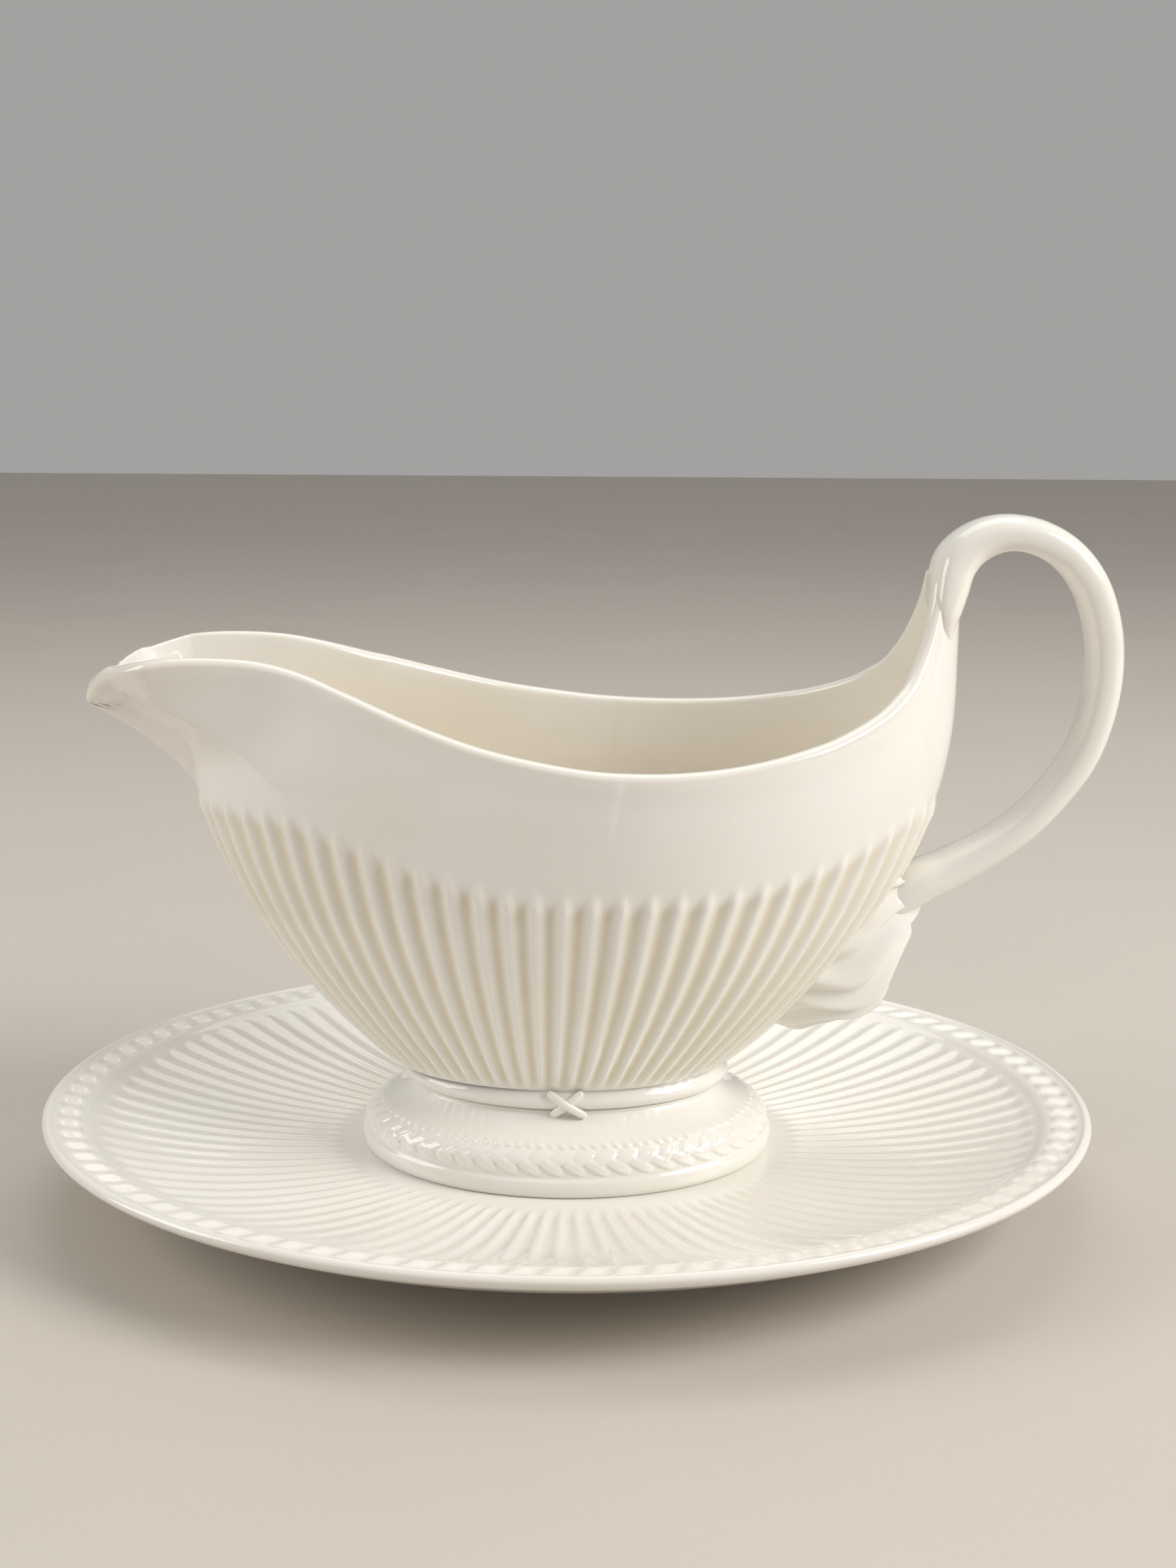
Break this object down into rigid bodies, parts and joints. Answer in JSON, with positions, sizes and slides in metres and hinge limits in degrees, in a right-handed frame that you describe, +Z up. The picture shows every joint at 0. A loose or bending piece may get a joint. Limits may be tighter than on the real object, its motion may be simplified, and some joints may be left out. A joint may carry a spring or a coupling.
{
  "type": "gravy boat",
  "caption": "Oval footed gravy boat with a drawn-out pouring lip, a high looped strap handle and a fluted bowl, on its own loose oval fluted stand.",
  "frame": {"origin": "centre of the stand's oval, on the surface that it stands on", "axes": "+X towards the handle, -X towards the pouring lip, +Z up"},
  "size_m": [0.2423, 0.1848, 0.156],
  "materials": {
    "glaze": "glossy ivory glaze over cream earthenware"
  },
  "bodies": {
    "stand": {"stand_dish": "glaze", "stand_foot_ring": "glaze"},
    "boat": {"boat_foot": "glaze", "boat_collar": "glaze", "boat_bowl": "glaze", "boat_handle": "glaze", "handle_leaf": "glaze", "foot_ribbon_ties": "glaze"}
  },
  "joints": [
    {"name": "boat_lift", "type": "slide", "parent": "stand", "child": "boat", "axis": [0, 0, 1], "range_m": [0, 0.12]}
  ]
}
